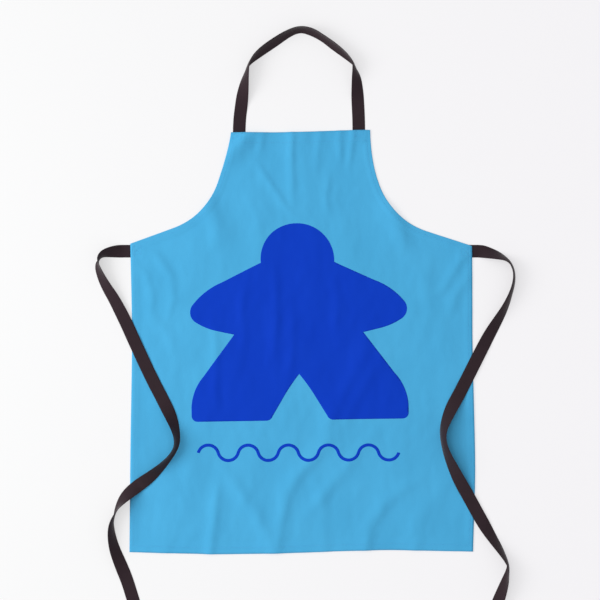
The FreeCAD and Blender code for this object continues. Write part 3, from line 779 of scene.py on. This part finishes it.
class Finish:
    # one material: nodes are added by type, settings and inputs, and its shader is set last
    def __init__(self, name):
        self.material = bpy.data.materials.new(name)
        self.material.use_nodes = True
        self.tree = self.material.node_tree
        self.tree.nodes.clear()

    def add(self, kind, settings=None, inputs=None, output=0):
        node = self.tree.nodes.new("ShaderNode" + kind)
        for key, value in (settings or {}).items():
            setattr(node, key, value)
        for key, value in (inputs or {}).items():
            connect(self.tree, node.inputs[key], value)
        return Signal(self.tree, node.outputs[output] if len(node.outputs) else None)

    def surface(self):
        # across and along the piece in metres, from its own map
        place = self.add("TexCoord", output=2)
        parts = self.tree.nodes.new("ShaderNodeSeparateXYZ")
        connect(self.tree, parts.inputs[0], place)
        return place, Signal(self.tree, parts.outputs[0]), Signal(self.tree, parts.outputs[1])

    def noise(self, place, scale, detail=2.0, roughness=0.5):
        return self.add("TexNoise", None, {"Vector": place, "Scale": scale, "Detail": detail,
                                           "Roughness": roughness})

    def mix(self, share, first, second):
        return self.add("Mix", {"data_type": "RGBA"}, {0: share, 6: first, 7: second}, output=2)

    def bump(self, height, distance, strength=1.0):
        return self.add("Bump", None, {"Height": height, "Distance": distance, "Strength": strength})

    def shade(self, color, roughness, normal, **constants):
        shader = self.add("BsdfPrincipled", None, {"Base Color": color, "Roughness": roughness,
                                                   "Normal": normal, **constants})
        self.add("OutputMaterial", None, {"Surface": shader})
        return self.material


def linear(red, green, blue):
    # screen colour 0 to 255 to the renderer's own scale
    parts = np.array([red, green, blue]) / 255
    parts = np.where(parts < 0.04045, parts / 12.92, ((parts + 0.055) / 1.055) ** 2.4)
    return (*[float(part) for part in parts], 1.0)


def weaveHeight(u, v, pitch):
    # plain weave: threads pass over and under in turn, sin(u) * sin(v)
    turns = 2 * math.pi / pitch
    return (u * turns).sine() * (v * turns).sine() * 0.5 + 0.5


clothLook = {
    "light": (77, 173, 220), "dark": (65, 159, 206), "fleck": (84, 179, 226),
    "pitch": 0.9 * mm, "weaveDepth": 0.05 * mm, "crinkleDepth": 0.9 * mm,
}
inkLook = {"full": (4, 54, 184), "thin": (14, 66, 194), "pitch": 0.9 * mm}
tapeLook = {"dark": (33, 21, 26), "light": (54, 39, 45), "rib": 1.5 * mm, "depth": 0.09 * mm}


def clothFinish():
    look = Finish("blueCloth")
    place, u, v = look.surface()
    weave = weaveHeight(u, v, clothLook["pitch"])
    slub = look.noise(place, 420.0, 2.0)
    cloud = look.noise(place, 9.0, 3.0, 0.55)
    crinkle = look.noise(place, 60.0, 3.0, 0.6)
    color = look.mix(cloud, linear(*clothLook["dark"]), linear(*clothLook["light"]))
    color = look.mix(weave * slub * 0.35, color, linear(*clothLook["fleck"]))
    fine = look.bump(weave + slub * 0.5, clothLook["weaveDepth"])
    soft = look.add("Bump", None, {"Height": crinkle, "Distance": clothLook["crinkleDepth"],
                                   "Strength": 0.35, "Normal": fine})
    return look.shade(color, 0.86 + cloud * 0.08, soft,
                      **{"Sheen Weight": 0.06, "Sheen Roughness": 0.5, "Specular IOR Level": 0.15})


def inkFinish():
    look = Finish("printInk")
    place, u, v = look.surface()
    weave = weaveHeight(u, v, inkLook["pitch"])
    cover = look.noise(place, 14.0, 4.0, 0.6)
    speck = look.noise(place, 500.0, 2.0)
    color = look.mix(cover * 0.5 + weave * speck * 0.4, linear(*inkLook["full"]), linear(*inkLook["thin"]))
    normal = look.bump(weave * 0.6 + speck * 0.5, 0.04 * mm)
    return look.shade(color, 0.72 + speck * 0.12, normal, **{"Specular IOR Level": 0.08})


def tapeFinish():
    look = Finish("darkTape")
    place, u, v = look.surface()
    turns = 2 * math.pi / tapeLook["rib"]
    twill = ((u.absolute() + v) * turns).sine() * 0.5 + 0.5
    threads = (v * turns * 2.0).sine() * (u * turns * 2.0).sine() * 0.5 + 0.5
    edge = u.absolute().above(tape["width"] / 2 - 1.4 * mm)
    pattern = twill * (1 - edge) + threads * edge
    wear = look.noise(place, 70.0, 3.0, 0.6)
    color = look.mix(pattern * 0.55 + wear * 0.4, linear(*tapeLook["dark"]), linear(*tapeLook["light"]))
    normal = look.bump(pattern * 0.8 + threads * 0.3, tapeLook["depth"])
    return look.shade(color, 0.7 + wear * 0.15, normal,
                      **{"Sheen Weight": 0.3, "Sheen Roughness": 0.4, "Specular IOR Level": 0.15})


def threadFinish(name, dark, light):
    look = Finish(name)
    place, u, v = look.surface()
    ply = (u * 9.0 + v * 2.0).sine() * 0.5 + 0.5
    color = look.mix(ply, linear(*dark), linear(*light))
    return look.shade(color, 0.62 + ply * 0.1, look.bump(ply, 0.05 * mm), **{"Sheen Weight": 0.1})


clothMaterial = clothFinish()
inkMaterial = inkFinish()
tapeMaterial = tapeFinish()
blueThread = threadFinish("blueThread", (58, 150, 200), (92, 188, 232))
darkThread = threadFinish("darkThread", (34, 28, 30), (64, 56, 58))


# Floor and light

studio = {
    "floor": 0.355, "floorPaintedRise": 0.029,     # a light table: paleness at the middle, rising to the right as painted light that offsets the side light's falloff
    "paintedGlow": 0.558, "paintedGlowDrop": 0.017,       # and the light that it gives off, a painted glow that lightens the shadows on the floor and drops to the right
    "world": (0.97, 0.98, 1.0), "worldStrength": 0.545,
    "sun": {"height": 54, "from": 166, "spread": 70, "strength": 1.08},    # degrees
    "side": {"place": (-2.3, 0.1, 1.5), "size": 1.6, "power": 36},
    "floorReach": 40.0,         # from the middle to each edge, in metres
}


def layFloor():
    reach = studio["floorReach"]
    corners = [(-reach, -reach, 0), (reach, -reach, 0), (reach, reach, 0), (-reach, reach, 0)]
    mesh = bpy.data.meshes.new("floor")
    mesh.from_pydata(corners, [], [(0, 1, 2, 3)])
    floor = addObject("floor", mesh)
    look = Finish("paleFloor")
    place = look.add("TexCoord", output=3)
    grain = look.noise(place, 30.0, 3.0)
    parts = look.tree.nodes.new("ShaderNodeSeparateXYZ")
    connect(look.tree, parts.inputs[0], place)
    share = Signal(look.tree, parts.outputs[0]) * 0.85 + 0.5

    def across(middle, rise):
        # from the left value to the right one, which is faintly violet
        low, high = middle - rise, middle + rise
        return look.mix(share, (low, low, low, 1), (high, high * 0.985, high * 1.005, 1))

    # the floor's paleness rises and its painted glow falls to the right: painted light that evens out the
    # side light and softens the shadows cast on the floor
    shade = across(studio["floor"], studio["floorPaintedRise"])
    paintedGlow = across(studio["paintedGlow"], -studio["paintedGlowDrop"])
    floor.data.materials.append(look.shade(shade, 0.9, look.bump(grain, 0.02 * mm),
                                           **{"Specular IOR Level": 0.1, "Emission Color": paintedGlow,
                                              "Emission Strength": 1.0}))


def hangLight(name, settings):
    data = bpy.data.lights.new(name, "AREA")
    data.shape = "DISK"
    data.size = settings["size"]
    data.energy = settings["power"]
    light = bpy.data.objects.new(name, data)
    light.location = settings["place"]
    light.rotation_euler = (-light.location).to_track_quat("-Z", "Y").to_euler()
    bpy.context.collection.objects.link(light)


def hangSun(settings):
    data = bpy.data.lights.new("sun", "SUN")
    data.angle = math.radians(settings["spread"])
    data.energy = settings["strength"]
    light = bpy.data.objects.new("sun", data)
    height, heading = math.radians(settings["height"]), math.radians(settings["from"])
    toward = (math.cos(height) * math.cos(heading), math.cos(height) * math.sin(heading), math.sin(height))
    light.location = [3 * part for part in toward]
    light.rotation_euler = (-light.location).to_track_quat("-Z", "Y").to_euler()
    bpy.context.collection.objects.link(light)


layFloor()
hangSun(studio["sun"])
hangLight("sideLight", studio["side"])
world = bpy.data.worlds.new("studio")
world.use_nodes = True
world.node_tree.nodes["Background"].inputs["Color"].default_value = (*studio["world"], 1)
world.node_tree.nodes["Background"].inputs["Strength"].default_value = studio["worldStrength"]
bpy.context.scene.world = world
bpy.context.scene.view_settings.view_transform = "Standard"


# What each piece is, rides on and stands for

def settle(piece, material, slot, *nodes):
    piece.data.materials.append(material)
    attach(piece, "root")
    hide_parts(*nodes)


settle(panel, clothMaterial, "blue_cloth", "body_panel")
settle(topHem, clothMaterial, "blue_cloth", "top_hem")
settle(bottomHem, clothMaterial, "blue_cloth", "bottom_hem")
for word, sideHem, facing in zip(("left", "right"), sideHems, facings):
    settle(sideHem, clothMaterial, "blue_cloth", word + "_side_hem")
    settle(facing, clothMaterial, "blue_cloth", word + "_armhole_facing")
for piece, node in seams:
    settle(piece, blueThread, "blue_thread", node)
settle(pawnPrint, inkMaterial, "print_ink", "pawn_print")
settle(wavePrint, inkMaterial, "print_ink", "wave_print")
settle(neckStrap, tapeMaterial, "dark_tape", "neck_strap")
settle(leftTie, tapeMaterial, "dark_tape", "left_tie")
settle(rightTie, tapeMaterial, "dark_tape", "right_tie")
for word, (fold, thread) in (("left", leftTieEnd), ("right", rightTieEnd)):
    settle(fold, tapeMaterial, "dark_tape", word + "_tie_end_fold")
    settle(thread, darkThread, "dark_thread", word + "_tie_end_thread")
